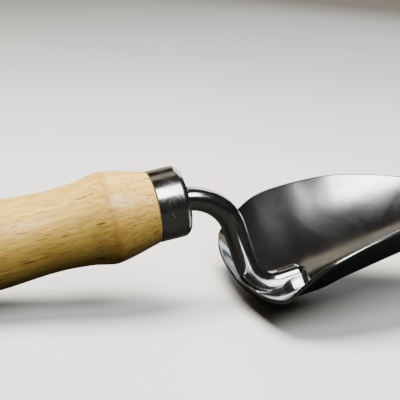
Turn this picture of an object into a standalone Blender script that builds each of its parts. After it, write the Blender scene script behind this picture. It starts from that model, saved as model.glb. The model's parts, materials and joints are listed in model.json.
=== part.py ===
"""Hand trowel with a turned wooden handle, a steel ferrule, a cranked round neck and a pressed scoop blade.

Run with: blender --background --python part.py

The tool is drawn along its handle's axis: +X runs from the handle to the blade, +Z is the open side of the
blade, and XZ is the plane of symmetry. X = 0 is the rear edge of the ferrule. One empty then tips the whole
tool about Y, so that it rests on its handle's end and on the heel of its blade, as it lies on a bench, with
the world's origin at the middle of its bounding box, on the bench. All sizes are metres.
"""

import math

import bmesh
import bpy
import numpy as np
from mathutils import Matrix, Vector

MM = 0.001

# Gaps between pieces
TOUCH_GAP = 0.3 * MM

# Handle
HANDLE_LENGTH = 112.0 * MM          # from the butt to the rear edge of the ferrule
RIDGE_BACK = 17.4 * MM              # from the ferrule back to the turned ridge
RIDGE_RADIUS = 17.2 * MM
RIDGE_FLAT = 1.6 * MM               # half the length of the blunt top of the ridge
WAIST_BACK = 38.0 * MM
WAIST_RADIUS = 14.8 * MM
SWELL_TO_BUTT = 26.0 * MM           # from the butt to the fullest part of the grip
SWELL_RADIUS = 17.0 * MM
BUTT_FLAT_RADIUS = 6.5 * MM
HANG_HOLE_RADIUS = 4.0 * MM
HANG_HOLE_TO_BUTT = 14.0 * MM
GRIP_MIDDLE = 0.55                  # place between the swell and the waist, and how full the grip is there
GRIP_FULLNESS = 0.58
RIDGE_FOOT = 6.0                    # rear foot of the ridge, in flats behind its top, and its rise there
RIDGE_FOOT_RISE = 0.28
RIDGE_ROLL = 0.1                    # how far the ends of the ridge's flat roll off
BUTT_FULLNESS = 0.8                 # below 1, the butt is fuller than an ellipse
BORE_SPARE = 2.0 * MM               # the bore runs on past the end of the tang

# Ferrule
FERRULE_LENGTH = 12.0 * MM
FERRULE_RADIUS = 13.43 * MM
FERRULE_WALL = 0.9 * MM
FERRULE_CORNER = 3.0 * MM
DIMPLE_AHEAD = 5.0 * MM             # from the ferrule's rear edge to the stake marks
DIMPLE_BALL_RADIUS = 3.2 * MM
DIMPLE_DEPTH = 0.45 * MM

# Neck: one round bar, which is the tang inside the handle and the crank outside it
ROD_RADIUS = 4.5 * MM
TANG_LENGTH = 50.0 * MM             # behind the ferrule's rear edge
ADHESIVE_WALL = 0.5 * MM
ADHESIVE_LENGTH = 44.0 * MM
STRAIGHT_OUT = 11.0 * MM            # the bar runs straight up to here
UPPER_BEND_RADIUS = 19.0 * MM
CRANK_ANGLE = math.radians(80.0)
DROP_LENGTH = 16.6 * MM             # straight stretch between the bends
LOWER_BEND_RADIUS = 12.1 * MM
TOE_ANGLE = math.radians(4.0)       # the toe climbs with the blade's floor
TOE_LENGTH = 10.0 * MM
TOE_ROUNDING = 2.4 * MM

# Blade
SHEET = 1.5 * MM
BLADE_LENGTH = 123.0 * MM
BLADE_HALF_WIDTH = 42.1 * MM
REAR_HALF_WIDTH = 40.3 * MM
REAR_BOW = 3.2 * MM                 # how far the rear edge bows back between its corners
REAR_CURVE_LENGTH = 6.0 * MM        # length of the rounding at its corners
RIM_DROP = 17.3 * MM                # from the handle's axis down to the top of the rim
REAR_RIM_FALL = 15.0 * MM           # from the top of the rim down to the shoulders
TIP_FALL = 10.7 * MM                # from the top of the rim down to the tip
KEEL_ROUNDING = 3.0 * MM            # softness of the fold along the keel
KEEL_CLEARANCE = 0.2 * MM           # the floor lies this much further from the bar than the weld needs
HEEL_BACK = 0.945                   # rear edge behind the lower bend's centre, in radii of the heel
OUTLINE_POWER = 3.4                 # roundness of the rear outline
ROW_CROWDING = 0.6                  # crowds the mesh's rows towards both ends
ROW_END = 0.93                      # where the first row meets the outline, in rear half-widths
BOW_RUN = 0.2                       # share of the rows that bow with the rear outline

# Weld
BEAD_LEG = 3.0 * MM
BEAD_LENGTH = 12.0 * MM
TOE_BEAD_INSET = 1.3 * MM           # the toe's bead stops this far inside the bar's sides

# Mesh fineness
ROUND_STEPS = 36
ARC_STEPS = 9
BLADE_ROWS = 44
BLADE_COLUMNS = 26

# Blade outlines: shares of the blade's length, against shares of the size that is named
HALF_WIDTH_SHARES = ((0.0, 0.945), (0.10, 0.972), (0.195, 1.0), (0.335, 0.935), (0.46, 0.845), (0.58, 0.735),
                     (0.68, 0.635), (0.78, 0.525), (0.87, 0.405), (0.94, 0.27), (0.98, 0.14), (1.0, 0.02))
REAR_RIM_SHARES = ((0.0, 1.0), (0.045, 0.93), (0.085, 0.71), (0.14, 0.43), (0.19, 0.24), (0.255, 0.12),
                   (0.34, 0.04), (0.44, 0.0))
TIP_RIM_SHARES = ((0.44, 0.0), (0.58, 0.19), (0.68, 0.45), (0.83, 0.80), (1.0, 1.0))
# Floor: shares of the run from the bar's toe to the tip, against shares of the climb
FLOOR_SHARES = ((0.10, 0.17), (0.28, 0.34), (0.615, 0.62), (1.0, 1.0))

# Section: shares of the blade's length, against the power that rounds the section
SECTION_POWERS = ((0.0, 0.75), (0.05, 1.05), (0.10, 1.25), (0.22, 1.42), (0.42, 1.65), (1.0, 2.0))


def curve_through(stations, x):
    """Read a smooth curve through (x, value) stations, which doesn't overshoot between them."""
    if x <= stations[0][0]:
        return stations[0][1]
    if x >= stations[-1][0]:
        return stations[-1][1]
    slopes = []
    for (x0, v0), (x1, v1) in zip(stations, stations[1:]):
        slopes.append((v1 - v0) / (x1 - x0))
    tangents = [slopes[0]]
    for before, after in zip(slopes, slopes[1:]):
        level = before * after <= 0.0
        tangents.append(0.0 if level else 2.0 * before * after / (before + after))
    tangents.append(slopes[-1])
    index = max(i for i in range(len(slopes)) if stations[i][0] <= x)
    (x0, v0), (x1, v1) = stations[index], stations[index + 1]
    run = x1 - x0
    t = (x - x0) / run
    ends = (2 * t**3 - 3 * t**2 + 1) * v0 + (3 * t**2 - 2 * t**3) * v1
    leads = (t**3 - 2 * t**2 + t) * tangents[index] + (t**3 - t**2) * tangents[index + 1]
    return ends + leads * run


# ---------------------------------------------------------------- the neck's route, which the blade follows

UPPER_CENTRE = Vector((STRAIGHT_OUT, 0.0, -UPPER_BEND_RADIUS))
DROP_HEADING = Vector((math.cos(CRANK_ANGLE), 0.0, -math.sin(CRANK_ANGLE)))
DROP_SIDE = Vector((math.sin(CRANK_ANGLE), 0.0, math.cos(CRANK_ANGLE)))
DROP_START = UPPER_CENTRE + DROP_SIDE * UPPER_BEND_RADIUS
DROP_END = DROP_START + DROP_HEADING * DROP_LENGTH
LOWER_CENTRE = DROP_END + DROP_SIDE * LOWER_BEND_RADIUS
TOE_HEADING = Vector((math.cos(TOE_ANGLE), 0.0, math.sin(TOE_ANGLE)))
TOE_START = LOWER_CENTRE + Vector((math.sin(TOE_ANGLE), 0.0, -math.cos(TOE_ANGLE))) * LOWER_BEND_RADIUS
TOE_END = TOE_START + TOE_HEADING * TOE_LENGTH


def neck_route():
    """List the points of the bar's centre line, from the end of the tang to the toe."""
    points = [Vector((-TANG_LENGTH, 0.0, 0.0)), Vector((STRAIGHT_OUT, 0.0, 0.0))]
    for step in range(1, ARC_STEPS + 1):
        angle = CRANK_ANGLE * step / ARC_STEPS
        side = Vector((math.sin(angle), 0.0, math.cos(angle)))
        points.append(UPPER_CENTRE + side * UPPER_BEND_RADIUS)
    points.append(DROP_END)
    for step in range(1, ARC_STEPS + 1):
        angle = CRANK_ANGLE - (CRANK_ANGLE + TOE_ANGLE) * step / ARC_STEPS
        side = Vector((math.sin(angle), 0.0, math.cos(angle)))
        points.append(LOWER_CENTRE - side * LOWER_BEND_RADIUS)
    points.append(TOE_END - TOE_HEADING * TOE_ROUNDING)
    points.append(TOE_END - TOE_HEADING * TOE_ROUNDING * 0.3)
    points.append(TOE_END)
    return points


# ---------------------------------------------------------------- the blade's form

# The blade's heel is dished round the bar's lower bend, and its floor follows the underside of the toe.
HEEL_RADIUS = LOWER_BEND_RADIUS + ROD_RADIUS + TOUCH_GAP + KEEL_CLEARANCE
FLOOR_LOW = LOWER_CENTRE.z - HEEL_RADIUS
REAR_X = LOWER_CENTRE.x - HEEL_BACK * HEEL_RADIUS
TIP_X = REAR_X + BLADE_LENGTH
TIP_HEIGHT = -RIM_DROP - TIP_FALL
TOE_RISE = (TOE_END.x - LOWER_CENTRE.x) * math.tan(TOE_ANGLE)


def floor_stations():
    """List the floor's (x, height) stations: along the underside of the bar, then up to the tip."""
    stations = [(LOWER_CENTRE.x, FLOOR_LOW), (TOE_END.x, FLOOR_LOW + TOE_RISE)]
    for run_share, climb_share in FLOOR_SHARES:
        x = TOE_END.x + (TIP_X - TOE_END.x) * run_share
        stations.append((x, FLOOR_LOW + (TIP_HEIGHT - FLOOR_LOW) * climb_share))
    return stations


FLOOR_STATIONS = floor_stations()


def blade_share(x):
    """Tell how far along the blade a place is, from 0 at its rear edge to 1 at its tip."""
    return (x - REAR_X) / BLADE_LENGTH


def half_width(x):
    """Give the blade's half-width, before its rear corners are rounded."""
    return BLADE_HALF_WIDTH * curve_through(HALF_WIDTH_SHARES, blade_share(x))


def rim_height(x):
    """Give the height of the rim."""
    share = blade_share(x)
    fall = REAR_RIM_FALL * curve_through(REAR_RIM_SHARES, share)
    fall += TIP_FALL * curve_through(TIP_RIM_SHARES, share)
    return -RIM_DROP - fall


def floor_height(x):
    """Give the floor height along the keel: a dished heel, a run under the bar and a rise to the tip."""
    if x < LOWER_CENTRE.x:
        behind = min(LOWER_CENTRE.x - x, HEEL_BACK * HEEL_RADIUS)
        return LOWER_CENTRE.z - math.sqrt(HEEL_RADIUS**2 - behind**2)
    return curve_through(FLOOR_STATIONS, x)


def inner_height(x, y):
    """Give the height of the blade's inner face."""
    outward = math.hypot(y, KEEL_ROUNDING) - KEEL_ROUNDING
    share = outward / (math.hypot(half_width(x), KEEL_ROUNDING) - KEEL_ROUNDING)
    power = curve_through(SECTION_POWERS, blade_share(x))
    low = floor_height(x)
    return low + (rim_height(x) - low) * share**power


def rear_curve(y):
    """Tell how far ahead of the rear edge's middle its outline is."""
    share = min(1.0, abs(y) / REAR_HALF_WIDTH)
    corner = REAR_CURVE_LENGTH * (1.0 - (1.0 - share**OUTLINE_POWER) ** (1.0 / OUTLINE_POWER))
    return REAR_BOW * share**2 + corner


def rear_reach(x):
    """Give the half-width at which the rear outline passes a place, by halving the range 30 times."""
    low, high = 0.0, REAR_HALF_WIDTH
    for _ in range(30):
        middle = (low + high) / 2
        if REAR_X + rear_curve(middle) < x:
            low = middle
        else:
            high = middle
    return high


def blade_point(along, across):
    """Place a point of the blade's inner face.

    along runs from 0 at the rear edge to 1 at the tip, and across from -1 to 1 between the rims.
    """
    corner_y = ROW_END * REAR_HALF_WIDTH
    corner_x = REAR_X + rear_curve(corner_y)
    crowded = along - ROW_CROWDING * math.sin(math.tau * along) / math.tau
    end_x = corner_x + (TIP_X - corner_x) * crowded
    reach = half_width(end_x)
    if end_x < REAR_X + REAR_BOW + REAR_CURVE_LENGTH:
        reach = min(reach, rear_reach(end_x))
    y = across * reach
    bow = max(0.0, 1.0 - along / BOW_RUN) ** 2
    x = end_x + bow * (rear_curve(across * corner_y) - rear_curve(corner_y))
    return Vector((x, y, inner_height(x, y)))


# ---------------------------------------------------------------- tools

def new_object(name, mesh, collection, parent):
    """Put a mesh into the scene as a named object under the bench empty."""
    piece = bpy.data.objects.new(name, mesh)
    collection.objects.link(piece)
    piece.parent = parent
    return piece


def along_handle(piece, x):
    """Turn an object whose axis is Z so that its axis lies along the handle, and place it at x."""
    piece.location = (x, 0.0, 0.0)
    piece.rotation_euler = (0.0, math.pi / 2, 0.0)


def turned_piece(name, profile, closed, collection, parent):
    """Turn a profile of (radius, height) points about Z with a Screw modifier."""
    mesh = bpy.data.meshes.new(name)
    edges = [(i, i + 1) for i in range(len(profile) - 1)]
    if closed:
        edges.append((len(profile) - 1, 0))
    mesh.from_pydata([(radius, 0.0, height) for radius, height in profile], edges, [])
    piece = new_object(name, mesh, collection, parent)
    screw = piece.modifiers.new("Turn", "SCREW")
    screw.axis = "Z"
    screw.angle = math.tau
    screw.steps = ROUND_STEPS
    screw.render_steps = ROUND_STEPS
    screw.use_merge_vertices = True
    screw.merge_threshold = 0.00001
    screw.use_smooth_shade = True
    return piece


def hole_cutter(name, radius, depth, collection, parent):
    """Make a cylinder, along Z, for cutting a hole."""
    mesh = bpy.data.meshes.new(name)
    shape = bmesh.new()
    bmesh.ops.create_cone(shape, cap_ends=True, segments=24, radius1=radius, radius2=radius, depth=depth)
    shape.to_mesh(mesh)
    shape.free()
    return as_cutter(new_object(name, mesh, collection, parent))


def as_cutter(piece):
    """Mark an object as a cutter, which isn't part of the tool."""
    piece.hide_render = True
    piece.display_type = "WIRE"
    return piece


def cut(piece, cutter):
    """Cut one object with another."""
    boolean = piece.modifiers.new("Cut", "BOOLEAN")
    boolean.operation = "DIFFERENCE"
    boolean.solver = "EXACT"
    boolean.object = cutter


def loft(name, rings, collection, parent):
    """Join a row of closed sections, all with the same number of points, into one capped solid."""
    mesh = bpy.data.meshes.new(name)
    shape = bmesh.new()
    loops = [[shape.verts.new(point) for point in ring] for ring in rings]
    count = len(rings[0])
    for before, after in zip(loops, loops[1:]):
        for i in range(count):
            j = (i + 1) % count
            shape.faces.new((before[i], before[j], after[j], after[i]))
    shape.faces.new(loops[0][::-1])
    shape.faces.new(loops[-1])
    bmesh.ops.recalc_face_normals(shape, faces=shape.faces[:])
    shape.to_mesh(mesh)
    shape.free()
    return new_object(name, mesh, collection, parent)


def give_material(piece, colour, roughness, metallic):
    """Give an object its own Principled BSDF material."""
    material = bpy.data.materials.new(piece.name)
    material.use_nodes = True
    shader = material.node_tree.nodes["Principled BSDF"]
    shader.inputs["Base Color"].default_value = (*colour, 1.0)
    shader.inputs["Roughness"].default_value = roughness
    shader.inputs["Metallic"].default_value = metallic
    piece.data.materials.append(material)


# ---------------------------------------------------------------- the pieces

def handle_radius(x):
    """Give the radius of the handle's outside at a place behind the ferrule (x below 0)."""
    butt = -HANDLE_LENGTH
    stations = (
        (butt + SWELL_TO_BUTT, SWELL_RADIUS),
        (butt + SWELL_TO_BUTT + GRIP_MIDDLE * (HANDLE_LENGTH - SWELL_TO_BUTT - WAIST_BACK),
         WAIST_RADIUS + GRIP_FULLNESS * (SWELL_RADIUS - WAIST_RADIUS)),
        (-WAIST_BACK, WAIST_RADIUS),
        (-RIDGE_BACK - RIDGE_FOOT * RIDGE_FLAT,
         WAIST_RADIUS + RIDGE_FOOT_RISE * (RIDGE_RADIUS - WAIST_RADIUS)),
        (-RIDGE_BACK - RIDGE_FLAT, RIDGE_RADIUS - RIDGE_ROLL * RIDGE_FLAT),
        (-RIDGE_BACK, RIDGE_RADIUS),
        (-RIDGE_BACK + RIDGE_FLAT, RIDGE_RADIUS - RIDGE_ROLL * RIDGE_FLAT),
        (-TOUCH_GAP, FERRULE_RADIUS),
    )
    return curve_through(stations, x)


def handle_outside():
    """List the handle's outside from its shoulder to its butt, as (radius, x) points."""
    butt = -HANDLE_LENGTH
    outside = [(FERRULE_RADIUS, -TOUCH_GAP)]
    ridge_front = -RIDGE_BACK + RIDGE_FLAT
    for step in range(1, 6):
        x = -TOUCH_GAP + (ridge_front + TOUCH_GAP) * step / 5
        outside.append((handle_radius(x), x))
    outside.append((RIDGE_RADIUS, -RIDGE_BACK))
    ridge_rear = -RIDGE_BACK - RIDGE_FLAT
    swell = butt + SWELL_TO_BUTT
    for step in range(0, 19):
        x = ridge_rear + (swell - ridge_rear) * step / 18
        outside.append((handle_radius(x), x))
    for step in range(1, 9):
        angle = math.pi / 2 * step / 8
        radius = BUTT_FLAT_RADIUS + (SWELL_RADIUS - BUTT_FLAT_RADIUS) * math.cos(angle) ** BUTT_FULLNESS
        outside.append((radius, swell - SWELL_TO_BUTT * math.sin(angle)))
    outside[-1] = (BUTT_FLAT_RADIUS, butt)
    outside.append((0.0, butt))
    return outside


def make_handle(parts, cutters, bench):
    """Make the turned handle, with its tenon, its bore for the tang and its hanging hole."""
    bore_radius = ROD_RADIUS + ADHESIVE_WALL + 2 * TOUCH_GAP
    bore_end = -TANG_LENGTH - BORE_SPARE
    tenon_radius = FERRULE_RADIUS - FERRULE_WALL - TOUCH_GAP
    tenon_end = FERRULE_LENGTH - FERRULE_WALL - TOUCH_GAP
    chamfer = FERRULE_CORNER
    profile = [(0.0, bore_end), (bore_radius, bore_end), (bore_radius, tenon_end),
               (tenon_radius - chamfer, tenon_end), (tenon_radius, tenon_end - chamfer),
               (tenon_radius, -TOUCH_GAP)]
    handle = turned_piece("handle", profile + handle_outside(), False, parts, bench)
    along_handle(handle, 0.0)
    cutter = hole_cutter("hang_hole_cutter", HANG_HOLE_RADIUS, 4 * SWELL_RADIUS, cutters, bench)
    cutter.location = (HANG_HOLE_TO_BUTT - HANDLE_LENGTH, 0.0, 0.0)
    cutter.rotation_euler = (math.pi / 2, 0.0, 0.0)
    cut(handle, cutter)
    give_material(handle, (0.72, 0.50, 0.27), 0.42, 0.0)


def make_ferrule(parts, cutters, bench):
    """Make the ferrule: a drawn cup with a hole for the bar, staked to the tenon on both sides."""
    hole = ROD_RADIUS + TOUCH_GAP
    inner_radius = FERRULE_RADIUS - FERRULE_WALL
    inner_end = FERRULE_LENGTH - FERRULE_WALL
    centre = (FERRULE_RADIUS - FERRULE_CORNER, FERRULE_LENGTH - FERRULE_CORNER)
    profile = [(hole, FERRULE_LENGTH)]
    for step in range(6):
        angle = math.pi / 2 * (1 - step / 5)
        profile.append((centre[0] + FERRULE_CORNER * math.cos(angle),
                        centre[1] + FERRULE_CORNER * math.sin(angle)))
    profile += [(FERRULE_RADIUS, 0.0), (inner_radius, 0.0)]
    inner_corner = FERRULE_CORNER - FERRULE_WALL
    for step in range(5):
        angle = math.pi / 2 * step / 4
        profile.append((centre[0] + inner_corner * math.cos(angle),
                        centre[1] + inner_corner * math.sin(angle)))
    profile.append((hole, inner_end))
    ferrule = turned_piece("ferrule", profile, True, parts, bench)
    along_handle(ferrule, 0.0)
    for side in (-1, 1):
        mesh = bpy.data.meshes.new("dimple_cutter")
        ball = bmesh.new()
        bmesh.ops.create_uvsphere(ball, u_segments=16, v_segments=10, radius=DIMPLE_BALL_RADIUS)
        ball.to_mesh(mesh)
        ball.free()
        cutter = as_cutter(new_object("dimple_cutter", mesh, cutters, bench))
        reach = FERRULE_RADIUS + DIMPLE_BALL_RADIUS - DIMPLE_DEPTH
        cutter.location = (DIMPLE_AHEAD, side * reach, 0.0)
        cut(ferrule, cutter)
    give_material(ferrule, (0.60, 0.60, 0.62), 0.25, 1.0)


def make_neck(parts, bench):
    """Make the bar: tang, crank and toe in one."""
    curve = bpy.data.curves.new("neck", "CURVE")
    curve.dimensions = "3D"
    curve.bevel_depth = ROD_RADIUS
    curve.bevel_resolution = 5
    curve.use_fill_caps = True
    points = neck_route()
    spline = curve.splines.new("POLY")
    spline.points.add(len(points) - 1)
    for point, place in zip(spline.points, points):
        point.co = (*place, 1.0)
    spline.points[-2].radius = 0.93
    spline.points[-1].radius = 0.72
    spline.use_smooth = True
    neck = bpy.data.objects.new("neck", curve)
    parts.objects.link(neck)
    neck.parent = bench
    give_material(neck, (0.55, 0.55, 0.57), 0.15, 1.0)


def make_adhesive(parts, bench):
    """Make the sleeve of set epoxy that holds the tang in the handle's bore."""
    inner = ROD_RADIUS + TOUCH_GAP
    outer = inner + ADHESIVE_WALL
    front = TANG_LENGTH - TOUCH_GAP
    profile = [(outer, front), (outer, front - ADHESIVE_LENGTH),
               (inner, front - ADHESIVE_LENGTH), (inner, front)]
    sleeve = turned_piece("tang_adhesive", profile, True, parts, bench)
    along_handle(sleeve, -TANG_LENGTH)
    give_material(sleeve, (0.75, 0.68, 0.45), 0.4, 0.0)


def make_blade(parts, bench):
    """Make the pressed blade: one open sheet, given its thickness by Solidify."""
    mesh = bpy.data.meshes.new("blade")
    shape = bmesh.new()
    bmesh.ops.create_grid(shape, x_segments=BLADE_ROWS, y_segments=BLADE_COLUMNS, size=1.0)
    for vertex in shape.verts:
        along = (vertex.co.x + 1.0) / 2.0
        vertex.co = blade_point(along, vertex.co.y)
    shape.to_mesh(mesh)
    shape.free()
    mesh.shade_smooth()
    blade = new_object("blade", mesh, parts, bench)
    wall = blade.modifiers.new("Sheet", "SOLIDIFY")
    wall.thickness = SHEET
    wall.offset = -1.0
    wall.use_even_offset = True
    give_material(blade, (0.62, 0.62, 0.64), 0.2, 1.0)


def bar_height(x):
    """Give the height of the bar's centre line where it lies on the blade."""
    if x >= TOE_START.x:
        return TOE_START.z + (x - TOE_START.x) * math.tan(TOE_ANGLE)
    return LOWER_CENTRE.z - math.sqrt(LOWER_BEND_RADIUS**2 - (x - LOWER_CENTRE.x) ** 2)


def make_side_bead(name, side, parts, bench):
    """Make the weld run in the corner between one side of the bar and the blade's floor."""
    rings = []
    bead_end = TOE_END.x - TOUCH_GAP
    for step in range(7):
        share = step / 6
        x = bead_end - BEAD_LENGTH * (1.0 - share)
        leg = BEAD_LEG * (0.55 + 0.45 * math.sin(math.pi * min(1.0, 0.15 + share)))
        centre = bar_height(x)
        skin = ROD_RADIUS + TOUCH_GAP
        ring = []
        for angle in (math.radians(-8), math.radians(-26), math.radians(-44)):
            ring.append((x, side * skin * math.cos(angle), centre + skin * math.sin(angle)))
        for reach in (0.95, 1.3, 1.3 + leg / ROD_RADIUS):
            y = ROD_RADIUS * reach
            ring.append((x, side * y, inner_height(x, y) + TOUCH_GAP))
        rings.append(ring)
    bead = loft(name, rings, parts, bench)
    give_material(bead, (0.62, 0.62, 0.62), 0.3, 1.0)


def make_toe_bead(parts, bench):
    """Make the weld run across the front of the bar's end."""
    rings = []
    for step in range(5):
        y = (ROD_RADIUS - TOE_BEAD_INSET) * (step / 2 - 1)
        leg = BEAD_LEG * (1.0 - 0.35 * abs(step / 2 - 1))
        x = TOE_END.x + ROD_RADIUS * math.sin(TOE_ANGLE) + TOUCH_GAP
        low = inner_height(x, y) + TOUCH_GAP
        far = x + leg
        ring = [(x, y, low), (x, y, low + leg * 1.2), (x + leg * 0.45, y, low + leg * 0.75),
                (far, y, inner_height(far, y) + TOUCH_GAP)]
        rings.append(ring)
    bead = loft("weld_toe", rings, parts, bench)
    give_material(bead, (0.62, 0.62, 0.62), 0.3, 1.0)


# ---------------------------------------------------------------- the pose on the bench

def piece_points(pieces):
    """List the evaluated vertices of each piece, in the tool's frame."""
    graph = bpy.context.evaluated_depsgraph_get()
    points = {}
    for piece in pieces:
        evaluated = piece.evaluated_get(graph)
        mesh = evaluated.to_mesh()
        flat = np.empty(len(mesh.vertices) * 3)
        mesh.vertices.foreach_get("co", flat)
        matrix = np.array(evaluated.matrix_world)
        points[piece.name] = flat.reshape(-1, 3) @ matrix[:3, :3].T + matrix[:3, 3]
        evaluated.to_mesh_clear()
    return points


def set_on_bench(pieces, bench):
    """Tip the tool until its handle and its blade both touch the bench, and centre it over the origin."""
    bpy.context.view_layer.update()
    points = piece_points(pieces)
    low_tilt = 0.0
    high_tilt = math.radians(45.0)
    for _ in range(40):
        tilt = (low_tilt + high_tilt) / 2
        turn = np.array(Matrix.Rotation(-tilt, 3, "Y"))
        handle_low = (points["handle"] @ turn.T)[:, 2].min()
        blade_low = (points["blade"] @ turn.T)[:, 2].min()
        if blade_low < handle_low:
            low_tilt = tilt
        else:
            high_tilt = tilt
    everything = np.vstack(list(points.values())) @ turn.T
    low = everything.min(axis=0)
    high = everything.max(axis=0)
    bench.rotation_euler = (0.0, -tilt, 0.0)
    bench.location = (-(low[0] + high[0]) / 2, 0.0, -low[2])
    bpy.context.view_layer.update()


def main():
    """Build the trowel."""
    for old in list(bpy.data.objects):
        bpy.data.objects.remove(old)
    parts = bpy.data.collections.new("hand_trowel")
    cutters = bpy.data.collections.new("cutters")
    bpy.context.scene.collection.children.link(parts)
    bpy.context.scene.collection.children.link(cutters)
    bench = bpy.data.objects.new("bench_pose", None)
    bpy.context.scene.collection.objects.link(bench)
    make_handle(parts, cutters, bench)
    make_ferrule(parts, cutters, bench)
    make_neck(parts, bench)
    make_adhesive(parts, bench)
    make_blade(parts, bench)
    make_side_bead("weld_left", 1, parts, bench)
    make_side_bead("weld_right", -1, parts, bench)
    make_toe_bead(parts, bench)
    set_on_bench(list(parts.objects), bench)


main()
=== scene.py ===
"""Hand trowel: a turned hardwood handle, a drawn ferrule, a cranked round bar and a pressed scoop blade.

The tool is modelled in its own frame and laid on the bench by ToolFrame. In that frame +X runs from the
handle to the blade, +Z is the open side of the blade, XZ is the plane of symmetry, and X is 0 at the rear
edge of the ferrule. All sizes are metres.
"""

import json
import logging
import math
from collections.abc import Sequence
from dataclasses import dataclass
from enum import Enum

import bmesh
import bpy
from mathutils import Matrix, Vector


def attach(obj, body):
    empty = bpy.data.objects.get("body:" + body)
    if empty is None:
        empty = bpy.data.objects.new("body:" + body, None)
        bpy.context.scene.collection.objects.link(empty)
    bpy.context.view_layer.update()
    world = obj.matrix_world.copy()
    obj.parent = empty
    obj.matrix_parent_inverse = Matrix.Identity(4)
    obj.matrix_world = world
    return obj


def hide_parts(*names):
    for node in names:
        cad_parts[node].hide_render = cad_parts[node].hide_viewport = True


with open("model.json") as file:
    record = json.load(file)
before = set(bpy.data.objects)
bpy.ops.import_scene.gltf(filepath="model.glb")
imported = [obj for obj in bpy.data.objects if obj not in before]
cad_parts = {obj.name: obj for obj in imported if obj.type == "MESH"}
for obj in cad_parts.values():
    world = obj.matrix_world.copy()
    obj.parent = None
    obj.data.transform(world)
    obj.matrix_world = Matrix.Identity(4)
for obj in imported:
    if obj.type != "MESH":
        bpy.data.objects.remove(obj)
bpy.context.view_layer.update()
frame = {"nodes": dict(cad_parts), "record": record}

MM = 0.001
LOG = logging.getLogger("hand_trowel")

WARM_WHITE = (1.0, 0.97, 0.92)
COOL = (0.84, 0.93, 1.0)

Station = tuple[float, float]
Colour = tuple[float, float, float]
Socket = bpy.types.NodeSocket


class Slot(Enum):
    """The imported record's material slots."""

    HANDLE = "handle_wood"
    FERRULE = "ferrule_steel"
    NECK = "neck_steel"
    BLADE = "blade_steel"
    WELD = "weld_steel"


# ------------------------------------------------------------ geometry tools


def curve_through(stations: Sequence[Station], x: float) -> float:
    """Read a smooth curve that passes through stations and doesn't overshoot between them.

    Args:
        stations: (x, value) pairs in rising order of x.
        x: where to read the curve.

    Returns:
        The curve's value, which stays at the end values outside the stations.
    """
    if x <= stations[0][0]:
        return stations[0][1]
    if x >= stations[-1][0]:
        return stations[-1][1]
    slopes = [(v1 - v0) / (x1 - x0) for (x0, v0), (x1, v1) in zip(stations, stations[1:])]
    tangents = [slopes[0]]
    for before, after in zip(slopes, slopes[1:]):
        turning = before * after <= 0.0
        tangents.append(0.0 if turning else 2.0 * before * after / (before + after))
    tangents.append(slopes[-1])
    index = max(i for i in range(len(slopes)) if stations[i][0] <= x)
    (x0, v0), (x1, v1) = stations[index], stations[index + 1]
    run = x1 - x0
    t = (x - x0) / run
    ends = (2 * t**3 - 3 * t**2 + 1) * v0 + (3 * t**2 - 2 * t**3) * v1
    leads = (t**3 - 2 * t**2 + t) * tangents[index] + (t**3 - t**2) * tangents[index + 1]
    return ends + leads * run


def crowd_ends(t: float, amount: float) -> float:
    """Move a share from 0 to 1 towards the nearer end, so that steps are finer at both ends."""
    return t - amount * math.sin(math.tau * t) / math.tau


def arc_points(centre: Station, radius: float, start: float, end: float, steps: int) -> list[Station]:
    """List points on an arc in a profile's plane.

    Args:
        centre: the arc's centre, as (x, r).
        radius: its radius.
        start: its first angle in degrees, from +x towards +r.
        end: its last angle in degrees.
        steps: how many steps the arc is divided into.

    Returns:
        The steps + 1 points, as (x, r).
    """
    points = []
    for step in range(steps + 1):
        angle = math.radians(start + (end - start) * step / steps)
        points.append((centre[0] + radius * math.cos(angle), centre[1] + radius * math.sin(angle)))
    return points


def line_points(start: Station, end: Station, steps: int) -> list[Station]:
    """List the points that divide a straight line into steps, without its last point.

    Args:
        start: the first point, as (x, r).
        end: the last point.
        steps: how many steps the line is divided into.

    Returns:
        One point for each step, as (x, r).
    """
    return [
        (start[0] + (end[0] - start[0]) * i / steps, start[1] + (end[1] - start[1]) * i / steps)
        for i in range(steps)
    ]


def spun_profile(profile: Sequence[Station], steps: int, closed: bool) -> bmesh.types.BMesh:
    """Spin a profile about the X axis.

    Args:
        profile: points as (x, r); an open profile begins and ends on the axis.
        steps: how many steps the turn is divided into.
        closed: whether the last point joins the first.

    Returns:
        The turned shape, with its normals outwards.
    """
    shape = bmesh.new()
    verts = [shape.verts.new((x, 0.0, radius)) for x, radius in profile]
    pairs = list(zip(verts, verts[1:]))
    if closed:
        pairs.append((verts[-1], verts[0]))
    for first, second in pairs:
        shape.edges.new((first, second))
    bmesh.ops.spin(
        shape,
        geom=shape.verts[:] + shape.edges[:],
        cent=(0.0, 0.0, 0.0),
        axis=(1.0, 0.0, 0.0),
        dvec=(0.0, 0.0, 0.0),
        angle=math.tau,
        steps=steps,
        use_merge=True,
        use_duplicate=False,
    )
    bmesh.ops.remove_doubles(shape, verts=shape.verts[:], dist=0.002 * MM)
    bmesh.ops.recalc_face_normals(shape, faces=shape.faces[:])
    return shape


def mesh_object(name: str, shape: bmesh.types.BMesh) -> bpy.types.Object:
    """Turn a shape into a linked object and free the shape.

    Args:
        name: the object's name.
        shape: the shape.

    Returns:
        The object.
    """
    mesh = bpy.data.meshes.new(name)
    shape.to_mesh(mesh)
    shape.free()
    piece = bpy.data.objects.new(name, mesh)
    bpy.context.scene.collection.objects.link(piece)
    return piece


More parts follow.
